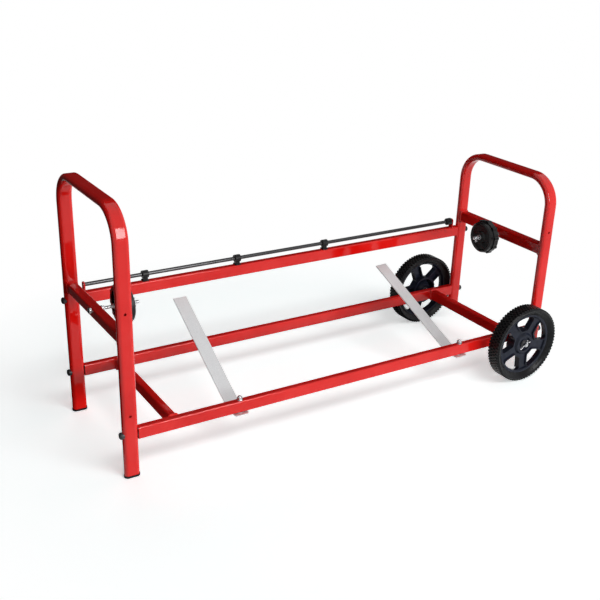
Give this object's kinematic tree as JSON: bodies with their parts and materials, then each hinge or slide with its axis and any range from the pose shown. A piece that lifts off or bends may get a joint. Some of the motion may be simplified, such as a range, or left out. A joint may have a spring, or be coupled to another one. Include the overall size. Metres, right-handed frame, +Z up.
{
  "type": "roll dispenser trolley",
  "caption": "Tubular trolley on wheels and feet that carries a roll of paper or film on turning core plugs, above swinging support arms, and leads its sheet under a guide rod.",
  "frame": {"origin": "on the floor under the middle of the frame", "axes": "+X from the feet to the wheels, -Y the open front where the roll goes in, +Z up"},
  "size_m": [1.0534, 0.411, 0.5235],
  "materials": {
    "frame_paint": "gloss red powder coat",
    "black_steel": "black oxide",
    "moulded_plastic": "fine moulded grain",
    "wheel_plastic": "satin moulded",
    "tyre_rubber": "moulded tread",
    "rod_steel": "drawn dark steel",
    "zinc_steel": "zinc plated",
    "arm_steel": "bright flat bar"
  },
  "bodies": {
    "trolley_frame": {"left_hoop": "frame_paint", "right_hoop": "frame_paint", "left_crossbar": "frame_paint", "right_crossbar": "frame_paint", "upper_rail": "frame_paint", "front_rail": "frame_paint", "rear_rail": "frame_paint", "left_brace": "frame_paint", "axle_housing": "frame_paint", "rod_tabs": "frame_paint", "rail_inserts": "black_steel", "frame_bolts": "black_steel", "saddle_washers": "black_steel", "foot_plugs": "moulded_plastic", "leg_plugs": "moulded_plastic", "rod_clips": "moulded_plastic", "rod_collar": "moulded_plastic", "guide_rod": "rod_steel", "left_spindle": "zinc_steel", "right_spindle": "zinc_steel", "spindle_nuts": "zinc_steel", "spindle_washers": "zinc_steel", "spindle_pins": "zinc_steel", "axle": "zinc_steel", "axle_spacers": "zinc_steel", "axle_washers": "black_steel", "axle_pins": "zinc_steel", "arm_bolts": "zinc_steel", "arm_washers": "zinc_steel", "arm_nuts": "zinc_steel"},
    "front_wheel": {"front_wheel_rim": "wheel_plastic", "front_wheel_tyre": "tyre_rubber", "front_wheel_bush": "zinc_steel"},
    "rear_wheel": {"rear_wheel_rim": "wheel_plastic", "rear_wheel_tyre": "tyre_rubber", "rear_wheel_bush": "zinc_steel"},
    "left_plug": {"left_core_plug": "moulded_plastic", "left_plug_bush": "zinc_steel"},
    "right_plug": {"right_core_plug": "moulded_plastic", "right_plug_bush": "zinc_steel"},
    "left_arm": {"left_arm": "arm_steel"},
    "right_arm": {"right_arm": "arm_steel"}
  },
  "joints": [
    {"name": "front_wheel_spin", "type": "hinge", "parent": "trolley_frame", "child": "front_wheel", "pos_m": [0.43, -0.1885, 0.089], "axis": [0, 1, 0], "continuous": true},
    {"name": "rear_wheel_spin", "type": "hinge", "parent": "trolley_frame", "child": "rear_wheel", "pos_m": [0.43, 0.1885, 0.089], "axis": [0, 1, 0], "continuous": true},
    {"name": "left_plug_spin", "type": "hinge", "parent": "trolley_frame", "child": "left_plug", "pos_m": [-0.45, 0, 0.284], "axis": [1, 0, 0], "continuous": true},
    {"name": "right_plug_spin", "type": "hinge", "parent": "trolley_frame", "child": "right_plug", "pos_m": [0.45, 0, 0.284], "axis": [1, 0, 0], "continuous": true},
    {"name": "left_arm_swing", "type": "hinge", "parent": "trolley_frame", "child": "left_arm", "pos_m": [-0.278, -0.145, 0.075], "axis": [0, 0, 1], "range_deg": [-30, 29]},
    {"name": "right_arm_swing", "type": "hinge", "parent": "trolley_frame", "child": "right_arm", "pos_m": [0.278, -0.145, 0.075], "axis": [0, 0, 1], "range_deg": [-35, 24]}
  ]
}
